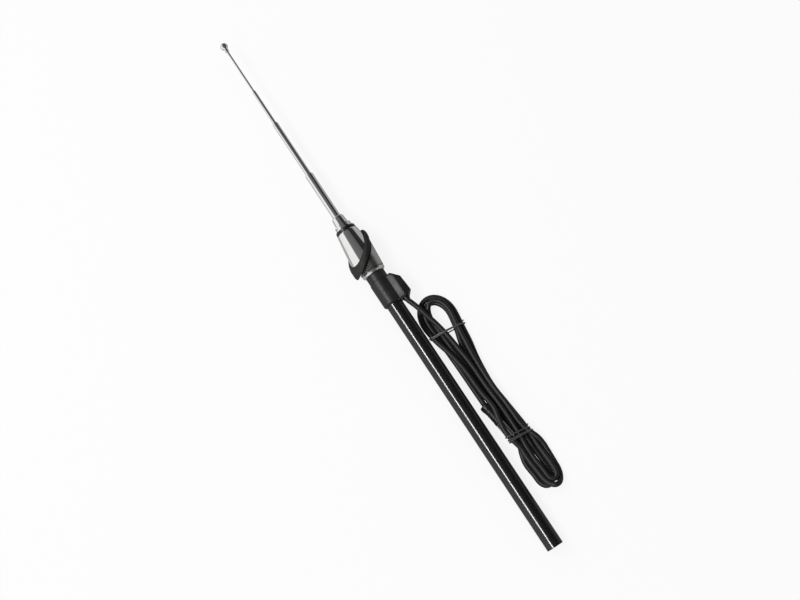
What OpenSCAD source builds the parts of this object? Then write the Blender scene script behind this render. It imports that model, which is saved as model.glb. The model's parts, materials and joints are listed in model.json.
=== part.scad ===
// Telescopic radio aerial for a vehicle's wing, lying on a flat surface with its lead in a hank.
// The aerial is drawn along its own axis, tip towards +X, and then laid down: station 0 is the
// top of the black sleeve. Lengths are in millimetres.

/* [Mast] */
// Diameter of the solid tip rod
rod_d = 2.2; // [2:0.1:2.4]
// Length of the tip rod below the ball
rod_len = 306; // [280:1:308]
// How far the rod shows above the second section
rod_shown = 49.8; // [10:0.1:200]
// Wall of the second section
tube2_wall = 0.35; // [0.3:0.05:0.4]
// Gap between the rod and the second section's bore
tube2_gap = 0.3; // [0.25:0.05:0.4]
// Length of the second section
tube2_len = 318; // [312:1:322]
// How far the second section shows above the third
tube2_shown = 39.7; // [10:0.1:200]
// Wall of the third section
tube3_wall = 0.5; // [0.4:0.05:0.55]
// Gap between the second section and the third section's bore
tube3_gap = 0.55; // [0.4:0.05:0.6]
// Length of the third section
tube3_len = 328; // [326:1:332]
// How far the third section shows above the fourth
tube3_shown = 62.3; // [10:0.1:200]
// Wall of the fourth section
tube4_wall = 0.6; // [0.5:0.05:0.7]
// Gap between the third section and the fourth section's bore
tube4_gap = 0.6; // [0.5:0.05:0.7]
// Length of the fourth section
tube4_len = 338; // [336:1:342]
// How far the fourth section shows above the top nut
tube4_shown = 50.2; // [10:0.1:200]
// Length of each section's rolled-in mouth
mouth_len = 2.5; // [2:0.1:4]
// Length of each section's foot bush
foot_len = 12; // [8:0.5:14]
// Diameter of the ball on the tip
ball_d = 7.4; // [6:0.1:9]
// Diameter of the collar under the ball
ball_neck_d = 3.8; // [3.2:0.1:5]
// Height of that collar
ball_neck_h = 3.2; // [2:0.1:5]

/* [Tubes] */
// Outside diameter of the black tube
tube_d = 16; // [15.6:0.1:18]
// Wall of the black tube
tube_wall = 1; // [0.9:0.1:1.1]
// Thickness of the black sheath on the tube's open length
coat_t = 0.3; // [0.25:0.05:0.4]
// Station of the black tube's lower end, below the sleeve's top
tube_end = 298; // [294:1:320]
// How far the black tube reaches up into the clamp
tube_top = 8; // [6:0.5:9]
// Wall of the mast carrier tube
carrier_wall = 0.7; // [0.5:0.1:0.8]
// Gap between the fourth section and the carrier's bore
carrier_gap = 0.5; // [0.4:0.1:0.6]
// Height of the plug that closes the tube's lower end
end_plug_h = 10; // [6:1:16]
// How far the end plug sits inside the tube's mouth
end_plug_in = 1.2; // [0.5:0.1:3]
// Drain hole through the end plug
drain_d = 4; // [2:0.5:5]

/* [Head] */
// Station of the cone's top
cone_top = 48.7; // [46:0.1:54]
// Diameter of the cone's top
cone_top_d = 21.4; // [20:0.1:23]
// Half angle of the cone, in degrees
cone_angle = 7.5; // [5:0.5:9]
// Rounding of the cone's top edge
cone_edge = 0.9; // [0.4:0.1:1.5]
// Slope of the wing panel that the head seats on, in degrees
slope = 48; // [42:1:49]
// Direction in which that slope falls, round the axis, in degrees
slope_turn = 50; // [30:1:70]
// Station at which the cone's cut crosses the axis
cone_cut = 30.8; // [30:0.1:33]
// Thickness of the gasket, along the axis
gasket_t = 6.8; // [5:0.1:7.5]
// Radius of the gasket's outline
gasket_r = 16.5; // [16:0.1:18]
// How far the gasket's outline sits down the slope
gasket_shift = 1.9; // [1:0.1:2.4]
// How far the gasket's lip climbs up the cone
gasket_lip = 3.4; // [2:0.1:4]
// Rounding of the gasket's rim
gasket_edge = 1.4; // [0.8:0.1:1.8]
// Thickness of the clamp plate, along the axis
plate_t = 1.2; // [0.8:0.1:1.6]
// Thickness of the lower rubber ring, along the axis
pad_t = 3.2; // [2.5:0.1:3.6]
// Widest radius of the clamp wedge
wedge_wide_r = 14.4; // [13.8:0.1:15]
// Radius of the clamp wedge at its lower end
wedge_low_r = 12; // [11.8:0.1:13]
// Height of the ring nut under the wedge
ring_nut_h = 3.2; // [2.6:0.1:3.6]
// Chamfer of the ring nut
ring_nut_chamfer = 1.7; // [1:0.1:2.2]
// Width of the groove between wedge and ring nut
groove_w = 0.8; // [0.5:0.1:1]
// Depth of that groove
groove_depth = 1.3; // [0.8:0.1:1.6]
// Thickness of the insulator's flange over the cone
flange_t = 3.5; // [2.5:0.1:5]
// Diameter of that flange
flange_d = 20.6; // [19:0.1:21]
// How far the insulator reaches down inside the tube
insulator_depth = 30; // [26:1:60]

/* [Top nut] */
// Diameter of the top nut's two collars
nut_collar_d = 17.2; // [16.8:0.1:18]
// Height of the two collars together
nut_collar_h = 4.9; // [4:0.1:6]
// Diameter of the nut's body at its foot
nut_d = 13.4; // [12.8:0.1:14]
// Diameter of the nut's body at its shoulder
nut_top_d = 12; // [11.4:0.1:12.6]
// Height of the nut over its collars
nut_h = 10; // [8:0.1:12]
// Rounding of the nut's shoulder
nut_shoulder = 2.2; // [1:0.1:3]
// Length of the nut's guide for the fourth section
guide_len = 6; // [4:0.5:8]

/* [Sleeve and box] */
// Length of the black sleeve
sleeve_len = 34; // [32:0.5:40]
// Diameter of the sleeve
sleeve_d = 20.2; // [20:0.1:22]
// Diameter of its upper collar
collar_d = 19.2; // [18.8:0.1:19.6]
// Length of its upper collar
collar_len = 8.2; // [7:0.1:10]
// Chamfer of the sleeve's lower end
sleeve_chamfer = 1.4; // [0.8:0.1:1.6]
// How far the junction box stands out from the axis
box_reach = 20.2; // [19:0.1:23]
// Thickness of the junction box
box_t = 14; // [13:0.1:15]
// Depth of the slanted corner at the box's upper end
box_slant = 7.2; // [6:0.1:8]
// Bevel along the box's outer edges
box_bevel = 3.2; // [2.4:0.1:3.6]
// Wall of the box
box_wall = 1.8; // [1.4:0.1:2]
// Thickness of the box's cover plate
cover_t = 1.6; // [1.2:0.1:2]
// Height of the cover's raised panel
panel_h = 0.6; // [0.4:0.1:1]
// Length of the cable gland
gland_len = 2.6; // [2:0.1:5]
// Diameter of the cable gland
gland_d = 7.2; // [6.8:0.1:8]

/* [Lead] */
// Diameter of the coaxial lead
cable_d = 5; // [4.6:0.1:5.2]
// Width of the ties round the hank
tie_w = 2.4; // [1.6:0.1:4]
// Thickness of the ties
tie_t = 0.7; // [0.5:0.1:0.9]
// Diameter of the plug's outer contact
plug_d = 9.3; // [9:0.1:9.6]
// Length of the plug's outer contact
plug_len = 15; // [13:0.5:16]
// Diameter of the plug's pin
pin_d = 3; // [2.6:0.1:3.4]
// How far the pin stands out of the outer contact
pin_out = 6; // [4:0.5:8]
// Length of the plug's grip
grip_len = 22; // [20:0.5:25]
// Diameter of the grip's rear flange
grip_d = 11; // [10.6:0.1:11.4]

/* [Hidden] */
$fn = 64;

// clearances
fit = 0.05;
seat = 0.02;
hair = 0.1;
far = 60;
below = 40;
over = 1;

// mast diameters, each from the section inside it
tube2_d = rod_d + 2 * (tube2_gap + tube2_wall);
tube3_d = tube2_d + 2 * (tube3_gap + tube3_wall);
tube4_d = tube3_d + 2 * (tube4_gap + tube4_wall);
carrier_d = tube4_d + 2 * (carrier_gap + carrier_wall);
tube_bore = tube_d - 2 * tube_wall;
bare_d = tube_d - 2 * coat_t;
insulator_d = tube_bore - 2 * fit;

// stations along the axis, from the sleeve's top
flange_top = cone_top + flange_t;
nut_base = flange_top;
nut_top = nut_base + nut_collar_h + nut_h;
tube4_top = nut_top + tube4_shown;
tube3_top = tube4_top + tube3_shown;
tube2_top = tube3_top + tube2_shown;
rod_top = tube2_top + rod_shown;
ball_at = rod_top + ball_neck_h + sqrt(pow(ball_d / 2, 2) - pow(ball_neck_d / 2, 2));
carrier_top = nut_top - guide_len;
gasket_low = cone_cut - gasket_t;
plate_low = gasket_low - plate_t;
pad_low = plate_low - pad_t;
wedge_low = ring_nut_h;
box_top = -collar_len;
box_low = -sleeve_len - 0.5;
coat_top = box_low - 0.2;

// the brass tongue between the lead and the carrier, and its window
contact_w = 5;
contact_at = box_low + box_wall + 6;
contact_reach = 13.2;
window_w = 5;
window_room = 1.5;
// the lead's place in the box
lead_y = -12.5;
// ledge that carries the cover's outer edge
pocket_ledge = 0.6;

// how the aerial lies: gasket rim and tube end both touch the surface
rim_drop = gasket_r - gasket_shift * sin(slope_turn);
rim_at = gasket_low + gasket_edge / cos(slope)
    + tan(slope) * (rim_drop * sin(slope_turn) - gasket_shift * pow(cos(slope_turn), 2));
lean = atan((rim_drop - tube_d / 2) / (rim_at + tube_end));
axis_h = tube_end * sin(lean) + tube_d / 2 * cos(lean);
reach_up = ball_at * cos(lean) + ball_d / 2;
reach_down = tube_end * cos(lean) + tube_d / 2 * sin(lean);
reach_left = gasket_r + gasket_shift * cos(slope_turn);
mid_x = (reach_up - reach_down) / 2;
mid_y = (reach_left - box_reach) / 2;

// the lead's route from the gland to the hank, on the surface's own coordinates
lead_route = [
    [-25.6, -11.25, 13.55], [-28.5, -11.3, 13.5], [-31.5, -12.4, 13.4], [-35.5, -13.8, 13.2],
    [-42, -15.8, 12.9], [-48.5, -17.5, 12.1], [-55, -19.2, 11.2], [-62.3, -21, 10.2], [-64.4, -21.4, 9.95]
];
lead_sides = 10;
// outlines of the hank, seen from above: upper loop, bound strands, lower loop and the open middle
loop_h = 2 * cable_d - 0.4;
side_h = cable_d + 2;
bundle_h = 2 * cable_d;
upper_loop = [[-64, -8.2], [-56, -8], [-50, -8.6], [-44, -10.6], [-38.5, -15.2], [-34.5, -21.5], [-33, -27],
    [-34, -32.5], [-38, -38], [-44, -42], [-52, -44], [-58, -44.2], [-64, -43.8]];
bundle = [[-64, -8.8], [-72, -10.1], [-84, -12.2], [-108, -13], [-138, -13.4], [-146, -17], [-152, -19.4],
    [-186, -23], [-193, -22.4], [-198, -16.7], [-198, -41.2], [-174, -38.1], [-150, -35.8], [-138, -35.4],
    [-120, -36.4], [-108, -37.6], [-84, -41.4], [-64, -43.8]];
lower_loop = [[-198, -16.7], [-207, -15.4], [-216, -14.8], [-225, -15.4], [-233, -16.8], [-240, -19.6],
    [-245, -24.4], [-246.4, -28.5], [-244.5, -32.6], [-240, -36], [-233, -39.9], [-225, -42], [-216, -42.8],
    [-207, -42.3], [-198, -41.2]];
open_middle = [[-43.3, -28.4], [-45, -26.2], [-48, -24.9], [-54, -23.4], [-60, -23.2], [-66, -24.3], [-78, -26.1],
    [-97, -27.9], [-97, -28.9], [-84, -31], [-66, -33.1], [-57, -33.9], [-51, -33], [-46, -31.2]];
// the lead crosses this corner of the upper loop above the side's height
crossing = [-46.5, -25.4];
// side views of the two strands that lie on the others: the lead coming in, and one over the plug
entry_y = -20.2;
entry_top = 12.3;
entry = [[-64, 5], [-64, entry_top], [-74, 11.4], [-90, 10.2], [-96, 9], [-96, 5]];
rider_y = -19.1;
rider_top = 15.5;
rider = [[-148, 8], [-160, 12.2], [-172, 14], [-180, rider_top], [-185, rider_top], [-192, 12.8], [-200, 9], [-200, 6],
    [-148, 6]];
upper_tie_x = -70.5;
lower_tie_x = -188;
lower_tie_w = 3 * tie_w;
// the plug lies along the left side of the hank
plug_at = [-148.5, -16.2];
plug_turn = 8;
plug_h = grip_d / 2;

// profiles are [radius, station] pairs turned round the axis
module turned(points) {
    rotate([0, 90, 0])
        rotate_extrude()
            polygon(points);
}

// a plain ring between two stations
module ring(outer, inner, low, high) {
    turned([[inner / 2, low], [outer / 2, low], [outer / 2, high], [inner / 2, high]]);
}

module rod(d, low, high) {
    translate([low, 0, 0])
        rotate([0, 90, 0])
            cylinder(d = d, h = high - low);
}

// sets the aerial down on the surface, with the middle of its footprint at the origin
module laid() {
    translate([-mid_x, -mid_y, axis_h])
        rotate([0, -lean, 0])
            children();
}

// everything between two planes that are parallel to the wing panel
module between_planes(low, high) {
    translate([low, 0, 0])
        rotate([slope_turn, 0, 0])
            rotate([0, 0, slope])
                translate([0, -far, -far])
                    cube([(high - low) * cos(slope), 2 * far, 2 * far]);
}

// a cylinder parallel to the axis, set down the slope, between two such planes
module slope_disc(r, shift, low, high) {
    intersection() {
        translate([0, shift * cos(slope_turn), shift * sin(slope_turn)])
            rod(2 * r, -far, far + cone_top);
        between_planes(low, high);
    }
}

// Mast

module tip_ball() {
    color("gainsboro")
        laid()
            difference() {
                union() {
                    translate([ball_at, 0, 0])
                        sphere(d = ball_d);
                    rod(ball_neck_d, rod_top, ball_at);
                }
                rod(rod_d + 2 * seat, rod_top - over, ball_at);
            }
}

module mast_rod() {
    color("gainsboro")
        laid()
            rod(rod_d, rod_top - rod_len, ball_at);
}

// a slit brass bush on a section's foot that runs in the bore of the next section
module foot_bush(on_d, bore, foot) {
    slits = 4;
    slit_w = 0.5;
    slit_len = foot_len * 0.6;
    difference() {
        ring(bore - 2 * fit, on_d + 2 * seat, foot, foot + foot_len);
        for (i = [0 : slits - 1])
            rotate([45 + i * 360 / slits, 0, 0])
                translate([foot + foot_len - slit_len, 0, -slit_w / 2])
                    cube([slit_len + over, bore, slit_w]);
    }
}

module rod_foot() {
    color("goldenrod")
        laid()
            foot_bush(rod_d, tube2_d - 2 * tube2_wall, rod_top - rod_len);
}

// a section: a tube whose mouth is rolled in round the section that slides in it
module section(d, wall, inner_d, top, length) {
    roll = wall * 0.8;
    bore_r = d / 2 - wall;
    mouth_r = inner_d / 2 + fit;
    turned([
        [bore_r, top - length], [d / 2, top - length], [d / 2, top - roll],
        [d / 2 - roll * 0.3, top - roll * 0.3], [d / 2 - roll, top], [mouth_r, top],
        [mouth_r, top - mouth_len], [bore_r, top - mouth_len - (bore_r - mouth_r)]
    ]);
}

module mast_tube_2() {
    color("silver")
        laid()
            section(tube2_d, tube2_wall, rod_d, tube2_top, tube2_len);
}

module tube_2_foot() {
    color("goldenrod")
        laid()
            foot_bush(tube2_d, tube3_d - 2 * tube3_wall, tube2_top - tube2_len);
}

module mast_tube_3() {
    color("silver")
        laid()
            section(tube3_d, tube3_wall, tube2_d, tube3_top, tube3_len);
}

module tube_3_foot() {
    color("goldenrod")
        laid()
            foot_bush(tube3_d, tube4_d - 2 * tube4_wall, tube3_top - tube3_len);
}

module mast_tube_4() {
    color("silver")
        laid()
            section(tube4_d, tube4_wall, tube3_d, tube4_top, tube4_len);
}

module tube_4_foot() {
    color("goldenrod")
        laid()
            foot_bush(tube4_d, carrier_d - 2 * carrier_wall, tube4_top - tube4_len);
}

// Head

// dome nut that holds the carrier and guides the fourth section
module top_nut() {
    carrier_r = carrier_d / 2 + seat;
    guide_r = tube4_d / 2 + fit;
    collar_r = nut_collar_d / 2;
    neck_r = collar_r - 1;
    step = nut_collar_h / 5;
    shoulder = nut_base + nut_collar_h + nut_h - nut_shoulder;
    arc = [for (i = [0 : 6]) [nut_top_d / 2 - nut_shoulder * (1 - cos(i * 15)), shoulder + nut_shoulder * sin(i * 15)]];
    color("silver")
        laid()
            turned(concat(
                [
                    [carrier_r, nut_base], [collar_r, nut_base], [collar_r, nut_base + 1.6 * step],
                    [neck_r, nut_base + 2 * step], [neck_r, nut_base + 2.8 * step],
                    [collar_r - 0.3, nut_base + 3.2 * step], [collar_r - 0.3, nut_base + 4.5 * step],
                    [nut_d / 2, nut_base + nut_collar_h]
                ],
                arc,
                [[guide_r, nut_top], [guide_r, carrier_top], [carrier_r, carrier_top]]
            ));
}

// black bush that keeps the mast clear of the head, with the flange that shows over the cone
module insulator() {
    color([0.08, 0.08, 0.08])
        laid()
            difference() {
                turned([
                    [carrier_d / 2 + fit, -insulator_depth], [insulator_d / 2, -insulator_depth],
                    [insulator_d / 2, cone_top], [flange_d / 2 - 0.4, cone_top],
                    [flange_d / 2, cone_top + 0.4], [flange_d / 2 - 0.4, flange_top],
                    [carrier_d / 2 + fit, flange_top]
                ]);
                contact_window();
            }
}

// the cone's full outline, before its slanted cut
module cone_form(extra) {
    foot = -10;
    foot_r = cone_top_d / 2 + (cone_top - foot) * tan(cone_angle) + extra;
    top_r = cone_top_d / 2 + extra;
    turned([[0, foot], [foot_r, foot], [top_r, cone_top - cone_edge],
        [top_r - cone_edge * 0.35, cone_top - cone_edge * 0.25], [top_r - cone_edge, cone_top], [0, cone_top]]);
}

module head_cone() {
    color("whitesmoke")
        laid()
            difference() {
                intersection() {
                    cone_form(0);
                    between_planes(cone_cut, cone_cut + 2 * far);
                }
                rod(insulator_d + 2 * fit, -far, far + over);
            }
}

// rubber gasket: its lip climbs the cone, its rim stands proud of the panel side
module gasket() {
    rim = gasket_edge / cos(slope);
    lip_r = cone_top_d / 2 + (cone_top - cone_cut + gasket_r / 2) * tan(cone_angle) + 0.6;
    color([0.1, 0.1, 0.1])
        laid()
            difference() {
                hull() {
                    slope_disc(lip_r, gasket_shift / 2, cone_cut, cone_cut + gasket_lip, $fn = 48);
                    slope_disc(gasket_r, gasket_shift, gasket_low + rim, cone_cut - rim, $fn = 48);
                    slope_disc(gasket_r - gasket_edge, gasket_shift, gasket_low, cone_cut, $fn = 48);
                }
                intersection() {
                    cone_form(hair);
                    between_planes(cone_cut, cone_cut + 2 * far);
                }
                rod(insulator_d + 2 * fit, -far, far);
            }
}

// the outline that pad, plate and wedge share: widest at the panel, drawn in to the ring nut
module clamp_form(inset) {
    wide_at = cone_cut + 4;
    wide_r = wedge_wide_r - inset;
    turned([[0, wedge_low], [wedge_low_r - inset, wedge_low], [wide_r, wide_at], [wide_r, 2 * cone_cut],
        [0, 2 * cone_cut]]);
}

module clamp_plate() {
    color("lightgray")
        laid()
            difference() {
                intersection() {
                    clamp_form(0.5);
                    between_planes(plate_low, gasket_low);
                }
                rod(insulator_d + 2 * fit, -far, far);
            }
}

module lower_pad() {
    color([0.1, 0.1, 0.1])
        laid()
            difference() {
                intersection() {
                    clamp_form(0.2);
                    between_planes(pad_low, plate_low);
                }
                rod(insulator_d + 2 * fit, -far, far);
            }
}

// die-cast wedge under the panel, on the tube's upper end
module clamp_wedge() {
    groove_top = wedge_low + groove_w;
    neck_r = wedge_low_r - groove_depth;
    color("darkgray")
        laid()
            difference() {
                intersection() {
                    clamp_form(0);
                    between_planes(pad_low - below, pad_low);
                }
                rod(bare_d + 2 * fit, -far, tube_top + seat);
                rod(insulator_d + 2 * fit, -far, far);
                difference() {
                    rod(4 * wedge_low_r, wedge_low - over, groove_top);
                    rod(2 * neck_r, wedge_low - 2 * over, groove_top + over);
                }
            }
}

module ring_nut() {
    r = wedge_low_r - 0.2;
    bore_r = bare_d / 2 + fit;
    color("silver")
        laid()
            turned([
                [bore_r, 0], [r - ring_nut_chamfer, 0], [r, ring_nut_chamfer],
                [r, ring_nut_h - 0.4], [r - 0.4, ring_nut_h], [bore_r, ring_nut_h]
            ]);
}

// Tubes

module carrier_tube() {
    low = -tube_end + end_plug_in + end_plug_h - 4;
    color("peru")
        laid()
            ring(carrier_d, carrier_d - 2 * carrier_wall, low, carrier_top);
}

// window through which the lead's contact reaches the carrier
module contact_window() {
    translate([contact_at - window_room, -tube_d / 2 - 3, -window_w / 2])
        cube([contact_w + 2 * window_room, tube_d / 2 + 3, window_w]);
}

// the tube: its black sheath ends under the sleeve, where the bare tube goes up into the clamp
module outer_tube() {
    edge = 0.3;
    color([0.05, 0.05, 0.05])
        laid()
            difference() {
                turned([
                    [tube_bore / 2, -tube_end], [tube_d / 2 - edge, -tube_end], [tube_d / 2, -tube_end + edge],
                    [tube_d / 2, coat_top], [bare_d / 2, coat_top], [bare_d / 2, tube_top - edge],
                    [bare_d / 2 - edge, tube_top], [tube_bore / 2, tube_top]
                ]);
                contact_window();
            }
}

// plastic plug that centres the carrier in the tube and lets water out
module end_plug() {
    low = -tube_end + end_plug_in;
    high = low + end_plug_h;
    seat_low = high - 4;
    color([0.12, 0.12, 0.12])
        laid()
            turned([
                [drain_d / 2, low], [tube_bore / 2 - fit, low], [tube_bore / 2 - fit, high],
                [carrier_d / 2 + fit, high], [carrier_d / 2 + fit, seat_low], [drain_d / 2, seat_low]
            ]);
}

// Sleeve and junction box

// outline of the box, seen from above, drawn in by an inset
module box_outline(inset) {
    polygon([
        [box_low + inset, -5], [box_low + inset, -box_reach + 4 + inset], [box_low + 4 + inset, -box_reach + inset],
        [box_top - box_slant - inset / 2, -box_reach + 1.2 + inset],
        [box_top - inset, -box_reach + box_slant + 0.9 + inset / 2], [box_top - inset, -5]
    ]);
}

// section across the box, bevelled along its outer edges
module box_section(inset) {
    half = box_t / 2 - inset;
    edge = box_reach - inset;
    translate([box_low - over, 0, 0])
        rotate([90, 0, 90])
            linear_extrude(sleeve_len + 2 * over)
                polygon([[-5, -half], [-edge + 2 * box_bevel, -half], [-edge, -half + box_bevel], [-edge, half - box_bevel],
                    [-edge + 2 * box_bevel, half], [-5, half]]);
}

module box_form(inset) {
    intersection() {
        translate([0, 0, -far])
            linear_extrude(2 * far)
                box_outline(inset);
        box_section(inset);
    }
}

module sleeve() {
    bore_r = bare_d / 2 + fit;
    r = sleeve_d / 2;
    cr = collar_d / 2;
    color([0.13, 0.13, 0.13])
        laid()
            difference() {
                union() {
                    turned([
                        [bore_r, -sleeve_len], [r - sleeve_chamfer, -sleeve_len], [r, -sleeve_len + sleeve_chamfer],
                        [r, -collar_len - 0.3], [r - 0.3, -collar_len], [cr, -collar_len + 0.2],
                        [cr, -0.8], [cr - 0.8, 0], [bore_r, 0]
                    ]);
                    box_form(0);
                }
                rod(bare_d + 2 * fit, -far, over);
                box_pocket();
                cover_seat();
                contact_window();
                // hole for the lead
                translate([box_low - over, lead_y, 0])
                    rotate([0, 90, 0])
                        cylinder(d = cable_d + 1, h = box_wall + 3);
            }
}

// pocket for the connection: closed under the bevel, open under the cover
module box_pocket() {
    low = box_low + box_wall + 1;
    long = box_top - box_low - box_slant - box_wall;
    inner = -tube_d / 2 - 2.4;
    outer = -box_reach + box_wall + 2.2;
    floor_z = -box_t / 2 + box_wall;
    roof_z = box_t / 2 - box_bevel + (outer + box_reach) / 2 - box_wall;
    opening = -box_reach + 2 * box_bevel + 0.4 + pocket_ledge;
    translate([low, outer, floor_z])
        cube([long, inner - outer, roof_z - floor_z]);
    translate([low, opening, floor_z])
        cube([long, inner - opening, box_t]);
}

// recess in the box's face that takes the cover plate
module cover_seat() {
    translate([0, 0, box_t / 2 - cover_t])
        linear_extrude(cover_t + over)
            cover_outline(0);
}

module cover_outline(grow) {
    low = box_low + 1.4 - grow;
    high = box_top - 1.4 + grow;
    inner = -7.6 + grow;
    outer = -box_reach + 2 * box_bevel + 0.4 - grow;
    cut = 2.6;
    polygon([[low, inner], [low, outer + cut / 2], [low + cut / 2, outer], [high - cut, outer], [high, outer + cut],
        [high, inner]]);
}

// cover plate with its raised panel
module box_cover() {
    color([0.3, 0.3, 0.3])
        laid()
            union() {
                translate([0, 0, box_t / 2 - cover_t + seat])
                    linear_extrude(cover_t - seat)
                        cover_outline(-hair);
                translate([0, 0, box_t / 2])
                    linear_extrude(panel_h)
                        cover_outline(-1);
            }
}

// brass tongue from the lead's core through the tube's window to the carrier
module contact_tongue() {
    blade = 0.8;
    color("goldenrod")
        laid()
            union() {
                translate([contact_at, -contact_reach, -blade / 2])
                    cube([contact_w, contact_reach - carrier_d / 2 - hair, blade]);
                translate([contact_at, -contact_reach, -2])
                    cube([contact_w, blade, 4]);
            }
}

module cable_gland() {
    color([0.1, 0.1, 0.1])
        laid()
            translate([box_low - gland_len, lead_y, 0])
                rotate([0, 90, 0])
                    difference() {
                        union() {
                            cylinder(d1 = gland_d - 1, d2 = gland_d, h = gland_len);
                            cylinder(d = cable_d + 1 - 2 * fit, h = gland_len + box_wall + 2);
                        }
                        translate([0, 0, -over])
                            cylinder(d = cable_d + 2 * fit, h = gland_len + over);
                        translate([0, 0, gland_len - hair])
                            cylinder(d = cable_d - 2, h = box_wall + 4);
                    }
}

// Lead

function unit(v) = v / norm(v);
function heading(route, i) = unit(route[min(i + 1, len(route) - 1)] - route[max(i - 1, 0)]);
function across(route, i) = unit(cross([0, 0, 1], heading(route, i)));
function ring_points(route, i, r, sides) = [
    for (k = [0 : sides - 1])
        route[i] + r * (cos(k * 360 / sides) * across(route, i)
            + sin(k * 360 / sides) * cross(heading(route, i), across(route, i)))
];

// sweeps a round section along a list of points
module swept(route, d, sides) {
    rings = len(route);
    points = [for (i = [0 : rings - 1]) each ring_points(route, i, d / 2, sides)];
    walls = [
        for (i = [0 : rings - 2], k = [0 : sides - 1])
            [i * sides + k, i * sides + (k + 1) % sides, (i + 1) * sides + (k + 1) % sides, (i + 1) * sides + k]
    ];
    ends = [[for (k = [sides - 1 : -1 : 0]) k], [for (k = [0 : sides - 1]) (rings - 1) * sides + k]];
    polyhedron(points = points, faces = [for (f = concat(walls, ends)) [for (k = [len(f) - 1 : -1 : 0]) f[k]]]);
}

module cable_lead() {
    color([0.1, 0.1, 0.1])
        swept(lead_route, cable_d, lead_sides);
}

// stands its children at the plug's place, along the plug's own axis
module at_plug(along) {
    translate([plug_at[0], plug_at[1], plug_h])
        rotate([0, 0, plug_turn])
            translate([-along, 0, 0])
                rotate([0, -90, 0])
                    children();
}

module plug_room() {
    at_plug(-0.6)
        cylinder(d = grip_d + 0.6, h = grip_len + plug_len + pin_out + 2);
}

// a tie's outline round the hank at one place along it, from [left, right, ridge_y, ridge_z]
module tie_band(x, w, around, grow) {
    inner = [around[0] - tie_t - grow, around[1] + tie_t + grow, around[2], around[3]];
    outer = [around[0] + grow, around[1] - grow, around[2], around[3] + tie_t + grow];
    translate([x - w / 2 - grow, 0, 0])
        rotate([90, 0, 90])
            linear_extrude(w + 2 * grow)
                difference() {
                    tie_outline(outer, 0, bundle_h + hair + tie_t + grow);
                    tie_outline(inner, tie_t + grow, bundle_h + hair);
                }
}

module tie_outline(around, low, side_top) {
    corner = 1.5;
    left = around[0];
    right = around[1];
    polygon([
        [right + corner, low], [left - corner, low], [left, low + corner], [left, side_top - corner],
        [left - corner, side_top], [around[2] + cable_d / 2, around[3]], [around[2] - cable_d / 2, around[3]],
        [right + corner, side_top], [right, side_top - corner], [right, low + corner]
    ]);
}

upper_tie_round = [-9, -44, entry_y - cable_d / 2, entry_top - 0.5];
lower_tie_round = [-15.2, -41, rider_y - cable_d / 2, rider_top + hair];

module upper_tie_form(grow) {
    tie_band(upper_tie_x, tie_w, upper_tie_round, grow);
}

module lower_tie_form(grow) {
    tie_band(lower_tie_x, lower_tie_w, lower_tie_round, grow);
}

// a strand that lies on the others, from its side view
module strand(side_view, left) {
    translate([0, left, 0])
        rotate([90, 0, 0])
            linear_extrude(cable_d)
                polygon(side_view);
}

module cable_hank() {
    color([0.09, 0.09, 0.09])
        difference() {
            union() {
                linear_extrude(loop_h)
                    polygon(upper_loop);
                linear_extrude(bundle_h)
                    polygon(bundle);
                linear_extrude(loop_h)
                    polygon(lower_loop);
                strand(entry, entry_y);
                strand(rider, rider_y);
            }
            translate([0, 0, -over])
                linear_extrude(bundle_h + entry_top)
                    polygon(open_middle);
            translate([-64, crossing[1], side_h])
                cube([crossing[0] + 64, -crossing[1], bundle_h]);
            plug_room();
            upper_tie_form(hair);
            lower_tie_form(hair);
        }
}

module upper_tie() {
    color([0.2, 0.2, 0.2])
        upper_tie_form(0);
}

module lower_tie() {
    color([0.2, 0.2, 0.2])
        lower_tie_form(0);
}

// moulded grip: rear flange, waist and a ribbed nose
module plug_grip() {
    r = grip_d / 2;
    waist = plug_d / 2 - 0.3;
    color([0.1, 0.1, 0.1])
        at_plug(0)
            rotate_extrude()
                polygon([
                    [0, 0], [cable_d / 2 + 1, 0], [r - 0.6, 0.6], [r, 1.4], [r, 4.6], [r - 1, 5.6],
                    [waist + 0.6, 9], [waist, grip_len - 5], [waist + 0.5, grip_len - 4],
                    [waist + 0.5, grip_len], [0, grip_len]
                ]);
}

module plug_contact() {
    color("silver")
        at_plug(grip_len)
            difference() {
                cylinder(d = plug_d, h = plug_len);
                translate([0, 0, 2])
                    cylinder(d = plug_d - 1.2, h = plug_len);
                translate([0, 0, -over])
                    cylinder(d = pin_d + 2, h = 4);
            }
}

module plug_insulator() {
    color("ivory")
        at_plug(grip_len)
            difference() {
                union() {
                    cylinder(d = pin_d + 2 - 2 * fit, h = 3);
                    translate([0, 0, 2])
                        cylinder(d = plug_d - 1.2 - 2 * fit, h = plug_len - 4);
                }
                translate([0, 0, -over])
                    cylinder(d = pin_d + 2 * seat, h = plug_len + 2 * over);
            }
}

module plug_pin() {
    bar = plug_len + pin_out - pin_d / 2;
    color("silver")
        at_plug(grip_len)
            union() {
                cylinder(d = pin_d, h = bar);
                translate([0, 0, bar])
                    sphere(d = pin_d);
            }
}

tip_ball();
mast_rod();
rod_foot();
mast_tube_2();
tube_2_foot();
mast_tube_3();
tube_3_foot();
mast_tube_4();
tube_4_foot();
top_nut();
insulator();
head_cone();
gasket();
clamp_plate();
lower_pad();
clamp_wedge();
ring_nut();
carrier_tube();
outer_tube();
end_plug();
sleeve();
box_cover();
contact_tongue();
cable_gland();
cable_lead();
cable_hank();
upper_tie();
lower_tie();
plug_grip();
plug_contact();
plug_insulator();
plug_pin();
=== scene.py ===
import json
import math

import bpy
from mathutils import Matrix, Vector


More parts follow.
